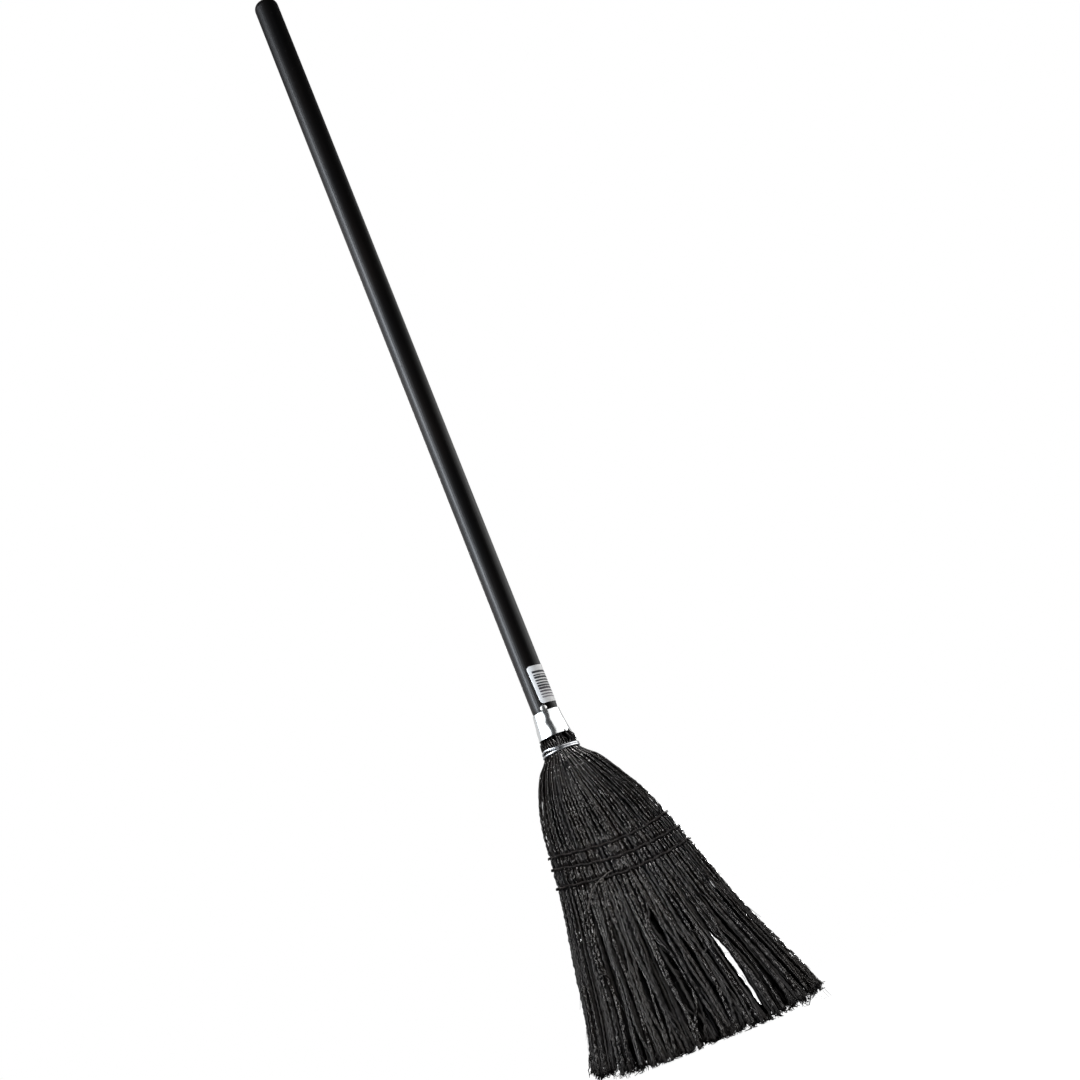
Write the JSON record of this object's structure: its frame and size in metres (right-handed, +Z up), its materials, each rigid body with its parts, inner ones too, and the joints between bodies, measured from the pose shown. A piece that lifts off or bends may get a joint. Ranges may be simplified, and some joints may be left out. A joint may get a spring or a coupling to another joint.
{
  "type": "lobby broom",
  "caption": "Upright lobby broom: straight wooden handle in a wire-bound, fan-shaped head of black synthetic fill sewn with twine.",
  "frame": {"origin": "under the middle of the head's width and depth, on the plane that the longest bristles touch", "axes": "+Z up the handle, +X the wide way of the head towards its longer side, -Y the front with the sticker and the ferrule nail"},
  "size_m": [0.1822, 0.05, 0.9525],
  "materials": {
    "lacquered_wood": "satin black lacquer",
    "label_paper": "semi-gloss white with grey bars",
    "tinplate": "bright tin plate",
    "nail_steel": "bright",
    "galvanised_wire": "galvanised, bright",
    "black_fill": "crimped synthetic fibre with a slight sheen",
    "black_twine": "twisted, matte"
  },
  "bodies": {
    "broom": {"handle": "lacquered_wood", "sticker": "label_paper", "ferrule": "tinplate", "ferrule_nail": "nail_steel", "wire_anchor_nail": "nail_steel", "core_bundle": "black_fill", "inner_binding_wire": "galvanised_wire", "shoulder_left": "black_fill", "shoulder_right": "black_fill", "cover_front": "black_fill", "cover_rear": "black_fill", "neck_wire": "galvanised_wire", "stitch_row_upper": "black_twine", "stitch_row_middle": "black_twine", "stitch_row_lower": "black_twine", "twine_end": "black_twine"},
    "bristle_skirt": {"bristle_tuft_front_01": "black_fill", "bristle_tuft_rear_01": "black_fill", "bristle_tuft_front_02": "black_fill", "bristle_tuft_rear_02": "black_fill", "bristle_tuft_front_03": "black_fill", "bristle_tuft_rear_03": "black_fill", "bristle_tuft_front_04": "black_fill", "bristle_tuft_rear_04": "black_fill", "bristle_tuft_front_05": "black_fill", "bristle_tuft_rear_05": "black_fill", "bristle_tuft_front_06": "black_fill", "bristle_tuft_rear_06": "black_fill", "bristle_tuft_front_07": "black_fill", "bristle_tuft_rear_07": "black_fill", "bristle_tuft_front_08": "black_fill", "bristle_tuft_rear_08": "black_fill", "bristle_tuft_front_09": "black_fill", "bristle_tuft_rear_09": "black_fill", "bristle_tuft_front_10": "black_fill", "bristle_tuft_rear_10": "black_fill", "bristle_tuft_front_11": "black_fill", "bristle_tuft_rear_11": "black_fill", "bristle_tuft_front_12": "black_fill", "bristle_tuft_rear_12": "black_fill"}
  },
  "joints": [
    {"name": "bristle_flex", "type": "hinge", "parent": "broom", "child": "bristle_skirt", "pos_m": [0, 0, 0.125], "axis": [1, 0, 0], "range_deg": [-25, 25], "stiffness_Nm_per_rad": 6}
  ]
}
